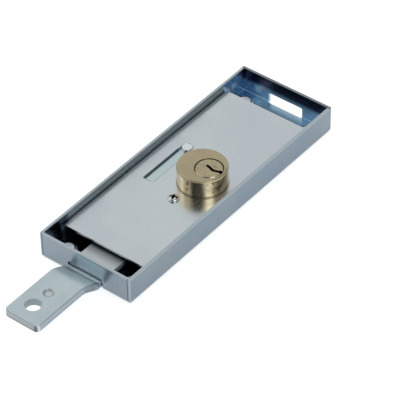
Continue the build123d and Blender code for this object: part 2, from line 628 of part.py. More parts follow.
# Pin stacks, set at the shear line as a key sets them
for stack, (height, key_pin_l) in enumerate(zip(PIN_HEIGHTS, KEY_PIN_LENGTHS), start=1):
    stack_axis = Axis((0, 0, height), (0, 1, 0))
    key_pin_top = SHEAR_Y - SHEAR_GAP
    key_pin_tip = key_pin_top - key_pin_l
    with BuildPart() as key_pin:
        with BuildSketch(Plane.XY.offset(height)):
            with BuildLine():
                Polyline(
                    (0, key_pin_tip),
                    (KEY_PIN_TIP_R, key_pin_tip),
                    (PIN_R, key_pin_tip + KEY_PIN_TIP_L),
                    (PIN_R, key_pin_top - PIN_EDGE),
                    (PIN_R - PIN_EDGE, key_pin_top),
                    (0, key_pin_top),
                    close=True,
                )
            make_face()
        revolve(axis=stack_axis)
    write(key_pin, f"key_pin_{stack}")

    with BuildPart() as driver_pin:
        with BuildSketch(Plane.XY.offset(height)):
            with BuildLine():
                Polyline(
                    (0, DRIVER_PIN_Y0),
                    (PIN_R - PIN_EDGE, DRIVER_PIN_Y0),
                    (PIN_R, DRIVER_PIN_Y0 + PIN_EDGE),
                    (PIN_R, DRIVER_PIN_Y1 - PIN_EDGE),
                    (PIN_R - PIN_EDGE, DRIVER_PIN_Y1),
                    (0, DRIVER_PIN_Y1),
                    close=True,
                )
            make_face()
        revolve(axis=stack_axis)
    write(driver_pin, f"driver_pin_{stack}")

    with BuildPart() as pin_spring:
        coil_y0 = DRIVER_PIN_Y1 + SPRING_END_GAP + SPRING_WIRE_R
        coil_l = SPRING_ROOM - 2 * (SPRING_END_GAP + SPRING_WIRE_R)
        with BuildLine() as coil:
            Helix(coil_l / SPRING_TURNS, coil_l, SPRING_R, center=(0, coil_y0, height), direction=(0, 1, 0))
        with BuildSketch(Plane(origin=coil.line @ 0, z_dir=coil.line % 0)):
            Circle(SPRING_WIRE_R)
        sweep(path=coil.line, is_frenet=True)
    write(pin_spring, f"pin_spring_{stack}")

    with BuildPart() as chamber_cap:
        with BuildSketch(upright_plane(CAP_Y1)):
            with Locations((0, height)):
                Circle(CHAMBER_R - CAP_FIT)
        extrude(amount=CAP_L)
    write(chamber_cap, f"chamber_cap_{stack}")

# Fixing screw: pan head with a cross recess
with BuildPart() as fixing_screw:
    with BuildSketch(Plane.XY.offset(CYL_BOTTOM)):
        with Locations((SCREW_X, SCREW_Y)):
            Circle(SCREW_R)
    extrude(amount=COVER_TOP - CYL_BOTTOM)
    with BuildSketch(Plane.XY.offset(COVER_TOP)):
        with Locations((SCREW_X, SCREW_Y)):
            Circle(SCREW_HEAD_R)
    extrude(amount=SCREW_HEAD_H)
    head_edge = fixing_screw.edges().filter_by(GeomType.CIRCLE).group_by(Axis.Z)[-1]
    fillet(head_edge, radius=SCREW_HEAD_CROWN)
    with BuildSketch(Plane.XY.offset(COVER_TOP + SCREW_HEAD_H)):
        with Locations(Location((SCREW_X, SCREW_Y), RECESS_TURN)):
            Rectangle(RECESS_L, RECESS_W)
            Rectangle(RECESS_W, RECESS_L)
    extrude(amount=-RECESS_DEPTH, taper=RECESS_TAPER, mode=Mode.SUBTRACT)
write(fixing_screw, "fixing_screw")
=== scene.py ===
import logging
import math
from dataclasses import dataclass, field
from enum import Enum

import bmesh
import bpy
from mathutils import Matrix, Vector


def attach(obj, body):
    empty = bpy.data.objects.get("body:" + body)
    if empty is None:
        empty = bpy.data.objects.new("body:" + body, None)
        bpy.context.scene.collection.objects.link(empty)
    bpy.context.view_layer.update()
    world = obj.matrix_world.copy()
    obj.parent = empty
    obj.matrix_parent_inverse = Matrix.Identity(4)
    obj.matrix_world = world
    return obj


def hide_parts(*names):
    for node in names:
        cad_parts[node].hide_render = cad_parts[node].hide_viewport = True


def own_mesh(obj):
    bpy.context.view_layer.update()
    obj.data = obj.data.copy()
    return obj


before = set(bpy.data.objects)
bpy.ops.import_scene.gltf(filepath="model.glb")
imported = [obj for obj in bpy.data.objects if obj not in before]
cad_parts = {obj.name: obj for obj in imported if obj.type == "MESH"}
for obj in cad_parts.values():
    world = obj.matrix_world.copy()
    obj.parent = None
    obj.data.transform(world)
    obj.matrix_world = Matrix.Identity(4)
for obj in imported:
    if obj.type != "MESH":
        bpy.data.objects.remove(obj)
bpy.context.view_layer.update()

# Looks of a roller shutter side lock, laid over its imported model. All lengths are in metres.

Colour = tuple[float, float, float]
Point = tuple[float, float, float]
Spot = tuple[float, float]
Span = tuple[float, float]

LOG = logging.getLogger("shutter_lock")

# Inputs and result of a Mix node, by the kind of value that it mixes
MIX_SOCKETS = {"RGBA": ((0, 6, 7), 2), "FLOAT": ((0, 2, 3), 0)}

# Spans of the noise that a metal's clouds, specks and gloss are spread over
CLOUD_SPAN = (0.35, 0.65)
SPECK_SPAN = (0.3, 0.7)
GLOSS_SPAN = (0.2, 0.8)

# Working marks: how they are drawn out along each axis, how rings repeat and how deep they stand
ROLLED_STRETCH = (0.05, 1.0, 1.0)
TURNED_STRETCH = (0.02, 0.02, 1.0)
RING_SCALE = 0.05
RING_DISTORTION = 1.5
MARK_DEPTH = 0.00005
QUARTER_TURN = 0.25


class Grain(Enum):
    """Direction of the fine marks that working left in a metal surface."""

    ROLLED = "along the sheet"
    TURNED = "round the cylinder"
    SATIN = "in no direction"


class NodeTree:
    """A node tree while it is being put together."""

    def __init__(self, tree: bpy.types.NodeTree) -> None:
        """Take over a tree and empty it.

        Args:
            tree: The tree.
        """
        self.tree = tree
        self.tree.nodes.clear()

    def node(self, kind: str, settings: dict | None = None, links: dict | None = None,
             **inputs: object) -> bpy.types.Node:
        """Add a node.

        Args:
            kind: Blender's identifier of the node type.
            settings: Values of the node's own properties.
            links: Values or sockets of its inputs, by index or name.
            inputs: More of the same, by name with _ for a space.

        Returns:
            The new node.
        """
        made = self.tree.nodes.new(kind)
        for key, value in (settings or {}).items():
            setattr(made, key, value)
        for key, value in (links or {}).items():
            self.feed(made.inputs[key], value)
        for key, value in inputs.items():
            self.feed(made.inputs[key.replace("_", " ")], value)
        return made

    def feed(self, socket: bpy.types.NodeSocket, value: object) -> None:
        """Link a socket to another, or set its value.

        Args:
            socket: The input to fill.
            value: An output socket, a colour or a number.
        """
        if isinstance(value, bpy.types.NodeSocket):
            self.tree.links.new(value, socket)
        elif socket.type == "RGBA" and len(value) == 3:
            socket.default_value = (*value, 1.0)
        else:
            socket.default_value = value

    def math(self, operation: str, first: object, second: object = 0.0,
             clamp: bool = False) -> bpy.types.NodeSocket:
        """Add a Math node.

        Args:
            operation: The node's operation.
            first: First input, a socket or a number.
            second: Second input, a socket or a number.
            clamp: Whether the result stays between 0 and 1.

        Returns:
            The result's socket.
        """
        settings = {"operation": operation, "use_clamp": clamp}
        return self.node("ShaderNodeMath", settings, {0: first, 1: second}).outputs[0]

    def span(self, value: object, low: object, high: object, new_low: object, new_high: object,
             easing: str = "SMOOTHSTEP") -> bpy.types.NodeSocket:
        """Map a number from one span to another, flat outside it.

        Args:
            value: The number's socket.
            low: Value that becomes new_low.
            high: Value that becomes new_high.
            new_low: Result at and below low.
            new_high: Result at and above high.
            easing: The node's kind of interpolation.

        Returns:
            The result's socket.
        """
        made = self.node("ShaderNodeMapRange", {"interpolation_type": easing}, {
            "Value": value, "From Min": low, "From Max": high, "To Min": new_low,
            "To Max": new_high})
        return made.outputs[0]


class ShaderTree(NodeTree):
    """A material and its node tree while it is being put together."""

    def __init__(self, name: str) -> None:
        """Start an empty material.

        Args:
            name: Name of the material.
        """
        self.material = bpy.data.materials.new(name)
        self.material.use_nodes = True
        super().__init__(self.material.node_tree)
        self.output = self.node("ShaderNodeOutputMaterial")

    def mean(self, first: object, second: object) -> bpy.types.NodeSocket:
        """Take the mean of two numbers.

        Args:
            first: The first number.
            second: The second number.

        Returns:
            The mean's socket.
        """
        halves = [self.math("MULTIPLY", value, 0.5) for value in (first, second)]
        return self.math("ADD", *halves)

    def mix(self, kind: str, share: object, first: object, second: object) -> bpy.types.NodeSocket:
        """Mix two colours or two numbers.

        Args:
            kind: RGBA for colours, FLOAT for numbers.
            share: How much of the second value there is, from 0 to 1.
            first: The value at share 0.
            second: The value at share 1.

        Returns:
            The mixed value's socket.
        """
        made = self.node("ShaderNodeMix", {"data_type": kind})
        inputs, result = MIX_SOCKETS[kind]
        for index, value in zip(inputs, (share, first, second)):
            self.feed(made.inputs[index], value)
        return made.outputs[result]

    def noise(self, size: float, stretch: Point = (1.0, 1.0, 1.0),
              detail: float = 2.0) -> bpy.types.NodeSocket:
        """Add noise on the piece's own coordinates.

        Args:
            size: Rough size of a patch, in metres.
            stretch: How often the patches repeat along each axis, against one patch in size.
            detail: Octaves of the noise.

        Returns:
            The noise value's socket.
        """
        place = self.node("ShaderNodeTexCoord")
        turned = self.node("ShaderNodeMapping", Vector=place.outputs["Object"], Scale=stretch)
        made = self.node("ShaderNodeTexNoise", Vector=turned.outputs[0], Scale=1.0 / size,
                         Detail=detail)
        return made.outputs[0]


@dataclass(frozen=True)
class Patch:
    """A region of a piece, in the frame's metres, with a look of its own, mostly painted light and
    shade.

    It fades over soft at each limit, and over the axis's own softness where that is given.

    Attributes:
        colour: Colour inside it; in most patches it is painted light and shade, in some the metal's
            own tone.
        x: Its limits along X. Those along the other axes are y and z.
        both_ends: Whether it stands on the other sides of X = 0 and Y = 0 too.
        centre: Where the upright line is that radius is measured from.
        radius: Its limits away from that line.
        soft: Width over which a limit fades.
        x_soft: That width for the limits along X. Those for the other axes are y_soft and z_soft.
        roughness: Roughness inside it, or None to leave it as it was.
        metallic: Share of metal inside it, or None likewise.
        drawn_out: How far highlights are drawn out round the upright axis, or None likewise.
    """

    colour: Colour
    x: Span | None = None
    y: Span | None = None
    z: Span | None = None
    both_ends: bool = False
    centre: Spot | None = None
    radius: Span | None = None
    soft: float = 0.0003
    x_soft: float | None = None
    y_soft: float | None = None
    z_soft: float | None = None
    roughness: float | None = None
    metallic: float | None = None
    drawn_out: float | None = None

    def mask(self, tree: ShaderTree) -> bpy.types.NodeSocket:
        """Find the region.

        Args:
            tree: The tree that the mask goes into.

        Returns:
            A socket that is 1 inside the region and 0 elsewhere.
        """
        place = tree.node("ShaderNodeTexCoord").outputs["Object"]
        parts = tree.node("ShaderNodeSeparateXYZ", Vector=place)
        x, y, z = parts.outputs[0], parts.outputs[1], parts.outputs[2]
        if self.both_ends:
            x, y = tree.math("ABSOLUTE", x), tree.math("ABSOLUTE", y)
        limits = [(x, self.x, self.x_soft), (y, self.y, self.y_soft), (z, self.z, self.z_soft)]
        if self.centre is not None:
            limits.append((self.distance(tree, x, y), self.radius, None))
        share = None
        for value, span, own in limits:
            if span is None:
                continue
            soft = self.soft if own is None else own
            rise = tree.span(value, span[0], span[0] + soft, 0.0, 1.0)
            fall = tree.span(value, span[1] - soft, span[1], 1.0, 0.0)
            inside = tree.math("MULTIPLY", rise, fall)
            share = inside if share is None else tree.math("MULTIPLY", share, inside)
        return share

    def distance(self, tree: ShaderTree, x: object, y: object) -> bpy.types.NodeSocket:
        """Measure how far a point is from the upright line through the patch's centre.

        Args:
            tree: The tree that the measure goes into.
            x: Socket of the x value.
            y: Socket of the y value.

        Returns:
            The distance's socket.
        """
        squares = []
        for value, middle in zip((x, y), self.centre):
            offset = tree.math("ABSOLUTE", tree.math("SUBTRACT", value, middle))
            squares.append(tree.math("POWER", offset, 2.0))
        return tree.math("SQRT", tree.math("ADD", *squares))


@dataclass(frozen=True)
class MetalFinish:
    """A metal surface with clouds of tint, an uneven gloss, working marks and patches of painted
    light and shade.

    Attributes:
        name: Name of the material.
        colour: Main colour.
        cloud_colour: Colour of the clouds and specks.
        roughness: Middle of its roughness.
        roughness_spread: How far the roughness strays to either side.
        cloud_size: Rough size of a cloud.
        grain: Direction of the working marks.
        grain_pitch: Distance from mark to mark.
        grain_strength: How much the marks bend the light.
        speck_size: Rough size of a speck.
        speck_share: How much of the second colour comes from specks.
        patches: Regions with a look of their own, most of them painted light and shade. A later one
            lies over an earlier one.
        turned_about: Where the upright axis is that turning marks run round.
    """

    name: str
    colour: Colour
    cloud_colour: Colour
    roughness: float
    roughness_spread: float = 0.04
    cloud_size: float = 0.03
    grain: Grain = Grain.SATIN
    grain_pitch: float = 0.0004
    grain_strength: float = 0.03
    speck_size: float = 0.0012
    speck_share: float = 0.2
    patches: tuple[Patch, ...] = ()
    turned_about: Spot = (0.0, 0.0)

    def material(self) -> bpy.types.Material:
        """Build the finish.

        Returns:
            The finished material.
        """
        tree = ShaderTree(self.name)
        cloud = tree.span(tree.noise(self.cloud_size, detail=3.0), *CLOUD_SPAN, 0.0, 1.0)
        speck = tree.noise(self.speck_size, detail=1.0)
        speck = tree.span(speck, *SPECK_SPAN, 0.0, self.speck_share)
        clouds = tree.math("MULTIPLY", cloud, 1.0 - self.speck_share)
        share = tree.math("ADD", clouds, speck, clamp=True)
        marks = self.marks(tree)
        mixed = tree.mean(cloud, marks)
        low, high = self.roughness - self.roughness_spread, self.roughness + self.roughness_spread
        colour = tree.mix("RGBA", share, self.colour, self.cloud_colour)
        gloss = tree.span(mixed, *GLOSS_SPAN, low, high)
        metallic, drawn_out = 1.0, 0.0
        for patch in self.patches:
            mask = patch.mask(tree)
            colour = tree.mix("RGBA", mask, colour, patch.colour)
            if patch.roughness is not None:
                gloss = tree.mix("FLOAT", mask, gloss, patch.roughness)
            if patch.metallic is not None:
                metallic = tree.mix("FLOAT", mask, metallic, patch.metallic)
            if patch.drawn_out is not None:
                drawn_out = tree.mix("FLOAT", mask, drawn_out, patch.drawn_out)
        bump = tree.node("ShaderNodeBump", Strength=self.grain_strength, Distance=MARK_DEPTH,
                         Height=marks)
        skin = tree.node("ShaderNodeBsdfPrincipled", Base_Color=colour, Metallic=metallic,
                         Roughness=gloss, Normal=bump.outputs[0])
        if isinstance(drawn_out, bpy.types.NodeSocket):
            tree.feed(skin.inputs["Anisotropic"], drawn_out)
            tree.feed(skin.inputs["Anisotropic Rotation"], QUARTER_TURN)
            tree.feed(skin.inputs["Tangent"], self.round_direction(tree))
        tree.feed(tree.output.inputs["Surface"], skin.outputs[0])
        return tree.material

    def round_direction(self, tree: ShaderTree) -> bpy.types.NodeSocket:
        """Find the direction that turning marks take round the upright axis.

        Args:
            tree: The tree that it goes into.

        Returns:
            The direction's socket.
        """
        place = tree.node("ShaderNodeTexCoord").outputs["Object"]
        parts = tree.node("ShaderNodeSeparateXYZ", Vector=place)
        across = tree.math("SUBTRACT", self.turned_about[1], parts.outputs[1])
        along = tree.math("SUBTRACT", parts.outputs[0], self.turned_about[0])
        return tree.node("ShaderNodeCombineXYZ", X=across, Y=along).outputs[0]

    def marks(self, tree: ShaderTree) -> bpy.types.NodeSocket:
        """Add the working marks.

        Args:
            tree: The tree that they go into.

        Returns:
            The height of the marks.
        """
        if self.grain is Grain.ROLLED:
            return tree.noise(self.grain_pitch, ROLLED_STRETCH)
        if self.grain is Grain.TURNED:
            place = tree.node("ShaderNodeTexCoord")
            to_axis = (-self.turned_about[0], -self.turned_about[1], 0.0)
            middle = tree.node("ShaderNodeMapping", Vector=place.outputs["Object"],
                               Location=to_axis)
            rings = tree.node("ShaderNodeTexWave", {"wave_type": "RINGS", "rings_direction": "Z"},
                              Vector=middle.outputs[0], Scale=RING_SCALE / self.grain_pitch,
                              Distortion=RING_DISTORTION, Detail=1.0)
            along = tree.noise(self.grain_pitch, TURNED_STRETCH, 1.0)
            return tree.mean(rings.outputs[1], along)
        return tree.noise(self.grain_pitch)


# Places on the lock that the finishes mark out
CYLINDER_AXIS = (0.0, -0.008)
PLUG_AXIS = (0.0, -0.012)
KEYWAY_END = (0.0027, -0.0138)
SCREW_AXIS = (-0.0182, -0.0048)
BOLT_HOLE = (-0.112, 0.001)
BOLT_BUTTON = (-0.1018, 0.0006)
BURRED_HOLE = (0.0675, 0.0190)

# Limits that several patches share. A radius that starts at MIDDLE leaves nothing out.
MIDDLE = -0.001
INSIDE_X = (-0.0763, 0.0763)
RIGHT_WALL_Y = (-0.0263, -0.0245)
LEFT_WALL_Y = (0.0245, 0.0263)
NEAR_WALL_X = (-0.0785, -0.0768)
WALL_Z = (0.0010, 0.0148)
OUTER_WALL_Z = (-0.0010, 0.0152)
RIM_Z = (0.0144, 0.0152)
FOOT_Z = (-0.0010, 0.0009)
COVER_Z = (0.0098, 0.0112)

TRAY_TONES_AND_PAINTED_LIGHT = (
    # Right inner wall in painted shade, with a painted highlight on the stretch beside the
    # cylinder, and left inner wall in painted light
    Patch((0.38, 0.40, 0.40), x=INSIDE_X, y=RIGHT_WALL_Y, z=WALL_Z),
    Patch((0.96, 0.97, 0.98), x=(-0.0260, -0.0030), y=RIGHT_WALL_Y, z=(0.0060, 0.0148),
          x_soft=0.0050, z_soft=0.0005, roughness=0.15),
    Patch((0.50, 0.57, 0.60), x=INSIDE_X, y=LEFT_WALL_Y, z=WALL_Z),
    # Far recess: blue passivation tint with painted light, the floor by the window painted lighter,
    # two painted highlights, the upper far wall in painted shade
    Patch((0.38, 0.56, 0.74), x=(0.0570, 0.0900), y=(-0.0258, 0.0258), z=(0.0005, 0.0150),
          x_soft=0.0040),
    Patch((0.34, 0.48, 0.56), x=(0.0570, 0.0763), y=(-0.0140, 0.0140), z=(0.0005, 0.0060),
          x_soft=0.0040, y_soft=0.0030),
    Patch((0.60, 0.90, 1.0), x=(0.0740, 0.0763), y=(0.0135, 0.0205), z=(0.0025, 0.0090),
          y_soft=0.0028, z_soft=0.0026, roughness=0.35, metallic=0.7),
    Patch((0.70, 0.86, 0.92), x=(0.0645, 0.0705), y=LEFT_WALL_Y, z=(0.0065, 0.0115),
          x_soft=0.0024, z_soft=0.0020, roughness=0.35, metallic=0.7),
    Patch((0.05, 0.06, 0.13), x=(0.0740, 0.0763), y=(-0.0262, 0.0262), z=(0.0070, 0.0190),
          z_soft=0.0030),
    # Near recess, darkened with painted shade
    Patch((0.10, 0.14, 0.20), x=(-0.0900, -0.0570), y=(-0.0258, 0.0258), z=(0.0005, 0.0148),
          x_soft=0.0040),
    # Outer faces of the end walls, and painted light on the face above the crank
    Patch((0.27, 0.32, 0.36), x=(0.0768, 0.0785), z=OUTER_WALL_Z),
    Patch((0.27, 0.325, 0.37), x=NEAR_WALL_X, z=OUTER_WALL_Z),
    Patch((0.54, 0.64, 0.70), x=NEAR_WALL_X, y=(-0.0138, 0.0062), z=(0.0035, 0.0148),
          y_soft=0.0035, z_soft=0.0010),
    # Burrs of the fixing holes with a painted highlight, and a dark line of painted shade round
    # them
    Patch((0.90, 0.95, 0.98), centre=BURRED_HOLE, radius=(0.0024, 0.0046), z=(-0.0010, 0.0032),
          both_ends=True, roughness=0.25, metallic=0.2),
    Patch((0.02, 0.035, 0.06), centre=BURRED_HOLE, radius=(0.0031, 0.0038), z=(0.0018, 0.0032),
          both_ends=True, soft=0.0002),
    # Rim with a painted highlight, darker at the far end as painted shade, then painted shade along
    # the lower edges and painted highlights on the upright corners
    Patch((0.52, 0.60, 0.63), x=(-0.0776, 0.0776), z=RIM_Z),
    Patch((0.18, 0.195, 0.21), x=(0.0755, 0.0780), z=RIM_Z),
    Patch((0.14, 0.15, 0.17), y=(0.0258, 0.0280), z=FOOT_Z, both_ends=True, z_soft=0.0006),
    Patch((0.14, 0.15, 0.17), x=(0.0763, 0.0785), z=FOOT_Z, both_ends=True, z_soft=0.0006),
    Patch((0.36, 0.43, 0.47), x=(0.0768, 0.0780), y=(0.0262, 0.0275), both_ends=True, soft=0.0004),
)
COVER_PAINTED_SHADE_AND_HIGHLIGHT = (
    # Painted shade along the edges of the guide slot: left, near and right
    Patch((0.11, 0.16, 0.18), x=(-0.0152, 0.0122), y=(0.0160, 0.0165), z=COVER_Z, soft=0.00015),
    Patch((0.10, 0.13, 0.15), x=(-0.0153, -0.0148), y=(0.0112, 0.0163), z=COVER_Z, soft=0.00015),
    Patch((0.33, 0.38, 0.40), x=(-0.0150, 0.0110), y=(0.0100, 0.0105), z=COVER_Z, soft=0.00015),
    # Painted reflection of the cylinder: a bright edge beside it
    Patch((0.97, 0.98, 0.98), x=(-0.0260, -0.0020), y=(-0.0262, -0.0234), z=(0.0080, 0.0112),
          x_soft=0.0050, roughness=0.35),
)
BOLT_PAINTED_LIGHT_AND_SHADE = (
    # Painted light on the flat in the near recess, a painted highlight on the root of the crank,
    # lighter paint on its rise, and the fold between them
    Patch((0.92, 0.97, 1.0), x=(-0.0780, -0.0600), z=(0.0030, 0.0080), x_soft=0.0032,
          roughness=0.46, metallic=0.15),
    Patch((0.82, 0.95, 1.0), x=(-0.0804, -0.0784), z=(0.0030, 0.0110), soft=0.0004,
          roughness=0.45, metallic=0.2),
    Patch((0.60, 0.72, 0.77), x=(-0.0900, -0.0815), z=(0.0030, 0.0120), x_soft=0.0012,
          roughness=0.42, metallic=0.6),
    Patch((0.54, 0.63, 0.68), x=(-0.0822, -0.0802), y=(-0.0096, 0.0110), z=(0.0030, 0.0110),
          soft=0.0005, roughness=0.35, metallic=0.8),
    # Side face and end face in painted shade, each darker towards its foot
    Patch((0.36, 0.41, 0.46), x=(-0.1200, -0.0790), y=(-0.0110, -0.0097), soft=0.0002),
    Patch((0.30, 0.36, 0.40), x=(-0.1200, -0.0790), y=(-0.0110, -0.0094), z=(0.0010, 0.0082),
          soft=0.0002, z_soft=0.0014),
    Patch((0.36, 0.40, 0.42), x=(-0.1230, -0.1216), y=(-0.0085, 0.0110), soft=0.0002),
    Patch((0.24, 0.25, 0.26), x=(-0.1230, -0.1212), y=(-0.0085, 0.0110), z=(0.0050, 0.0080),
          soft=0.0002, z_soft=0.0012),
    # Rounded corner between them: painted shade, then a painted highlight
    Patch((0.15, 0.16, 0.17), x=(-0.1230, -0.1210), y=(-0.0095, -0.0079), z=(0.0050, 0.0099),
          soft=0.0002),
    Patch((0.97, 0.99, 1.0), x=(-0.1213, -0.1198), y=(-0.0110, -0.0086), z=(0.0050, 0.0099),
          soft=0.0003, roughness=0.45, metallic=0.2),
    # Painted shade on the ring of the locating button and on the wall of the hole
    Patch((0.46, 0.49, 0.49), centre=BOLT_BUTTON, radius=(0.0013, 0.0031), z=(0.0090, 0.0104),
          soft=0.0006, roughness=0.50, metallic=0.5),
    Patch((0.26, 0.32, 0.335), centre=BOLT_HOLE, radius=(MIDDLE, 0.00408), soft=0.0001),
)
BODY_FINISH_AND_PAINTED_LIGHT = (
    # Turned side, a painted highlight on its bright stretch, and painted shade in the bore round
    # the plug
    Patch((0.82, 0.66, 0.43), z=(0.0050, 0.0207), soft=0.0004, roughness=0.16, drawn_out=0.6),
    Patch((1.0, 0.86, 0.60), x=(-0.0125, -0.0008), y=(-0.0210, -0.0145), z=(0.0155, 0.0207),
          x_soft=0.0020, y_soft=0.0010, z_soft=0.0020, roughness=0.16),
    Patch((0.06, 0.045, 0.025), centre=PLUG_AXIS, radius=(MIDDLE, 0.00722), soft=0.00008),
)
PLUG_PAINTED_LIGHT_AND_SHADE = (
    # Painted highlight on the edge of the face, painted shade at the end of the keyway and inside
    # it
    Patch((0.72, 0.62, 0.44), centre=PLUG_AXIS, radius=(0.0064, 0.0080), z=(0.0203, 0.0213),
          soft=0.00006),
    Patch((0.25, 0.21, 0.15), centre=KEYWAY_END, radius=(MIDDLE, 0.0012), z=(0.0208, 0.0216),
          soft=0.0006),
    Patch((0.03, 0.02, 0.01), centre=PLUG_AXIS, radius=(MIDDLE, 0.0061), z=(0.0095, 0.0207)),
)
SCREW_PAINTED_SHADE = (
    # Painted shade at the foot of the cross recess
    Patch((0.015, 0.015, 0.015), centre=SCREW_AXIS, radius=(MIDDLE, 0.0022), z=(0.0100, 0.01232),
          soft=0.00012),
)

TRAY_ZINC = MetalFinish(
    "tray_zinc", (0.255, 0.31, 0.35), (0.225, 0.295, 0.36), 0.24, cloud_size=0.02,
    grain=Grain.ROLLED, patches=TRAY_TONES_AND_PAINTED_LIGHT)
COVER_ZINC = MetalFinish(
    "cover_zinc", (0.60, 0.665, 0.68), (0.58, 0.63, 0.67), 0.25, grain=Grain.ROLLED,
    speck_share=0.08, patches=COVER_PAINTED_SHADE_AND_HIGHLIGHT)
BOLT_ZINC = MetalFinish(
    "bolt_zinc", (0.54, 0.635, 0.665), (0.49, 0.575, 0.615), 0.27, cloud_size=0.02,
    grain=Grain.ROLLED, patches=BOLT_PAINTED_LIGHT_AND_SHADE)
SLIDER_ZINC = MetalFinish(
    "slider_zinc", (0.57, 0.69, 0.71), (0.53, 0.64, 0.67), 0.24, cloud_size=0.02,
    grain=Grain.ROLLED)
RIVET_STEEL = MetalFinish(
    "rivet_steel", (0.73, 0.78, 0.81), (0.68, 0.73, 0.76), 0.22, cloud_size=0.01)
SATIN_BRASS = MetalFinish(
    "satin_brass", (0.46, 0.395, 0.26), (0.41, 0.355, 0.23), 0.28, cloud_size=0.012,
    grain=Grain.TURNED, grain_pitch=0.0003, grain_strength=0.08, patches=BODY_FINISH_AND_PAINTED_LIGHT,
    turned_about=CYLINDER_AXIS)
PLUG_BRASS = MetalFinish(
    "plug_brass", (0.50, 0.43, 0.29), (0.38, 0.33, 0.21), 0.26, cloud_size=0.0012,
    grain_pitch=0.0003, grain_strength=0.10, patches=PLUG_PAINTED_LIGHT_AND_SHADE)
RING_BRASS = MetalFinish(
    "ring_brass", (0.40, 0.34, 0.235), (0.35, 0.30, 0.205), 0.25, cloud_size=0.01)
NICKEL_SCREW = MetalFinish(
    "nickel_screw", (0.72, 0.72, 0.71), (0.66, 0.66, 0.65), 0.08, 0.02, cloud_size=0.004,
    patches=SCREW_PAINTED_SHADE)
PINION_STEEL = MetalFinish(
    "pinion_steel", (0.42, 0.41, 0.40), (0.32, 0.31, 0.30), 0.34, 0.08, cloud_size=0.006)
CLIP_STEEL = MetalFinish(
    "clip_steel", (0.16, 0.15, 0.13), (0.10, 0.09, 0.08), 0.30, cloud_size=0.01)
PIN_BRASS = MetalFinish(
    "pin_brass", (0.70, 0.55, 0.28), (0.60, 0.46, 0.22), 0.25, cloud_size=0.003)
SPRING_STEEL = MetalFinish(
    "spring_steel", (0.52, 0.52, 0.52), (0.42, 0.42, 0.43), 0.22, cloud_size=0.002)


def dress(node: str, material: bpy.types.Material) -> None:
    """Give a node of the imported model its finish.

    Args:
        node: Name of the node.
        material: The material for all its slots.
    """
    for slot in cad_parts[node].material_slots:
        slot.material = material
    LOG.info("%s dressed in %s", node, material.name)


def add_object(name: str, data: bpy.types.ID) -> bpy.types.Object:
    """Put a mesh, a light or a camera into the scene as an object at the origin.

    Args:
        name: Name of the object.
        data: What it shows. A mesh is in its final place.

    Returns:
        The new object.
    """
    made = bpy.data.objects.new(name, data)
    bpy.context.scene.collection.objects.link(made)
    return made


def rectangle(name: str, half_x: float, half_y: float, level: float = 0.0) -> bpy.types.Mesh:
    """Make a flat rectangle round the Z axis.

    Args:
        name: Name of the mesh.
        half_x: Half of its size along X.
        half_y: Half of its size along Y.
        level: Its height.

    Returns:
        The mesh, a single face that looks up.
    """
    mesh = bpy.data.meshes.new(name)
    corners = [(-half_x, -half_y, level), (half_x, -half_y, level),
               (half_x, half_y, level), (-half_x, half_y, level)]
    mesh.from_pydata(corners, [], [(0, 1, 2, 3)])
    return mesh


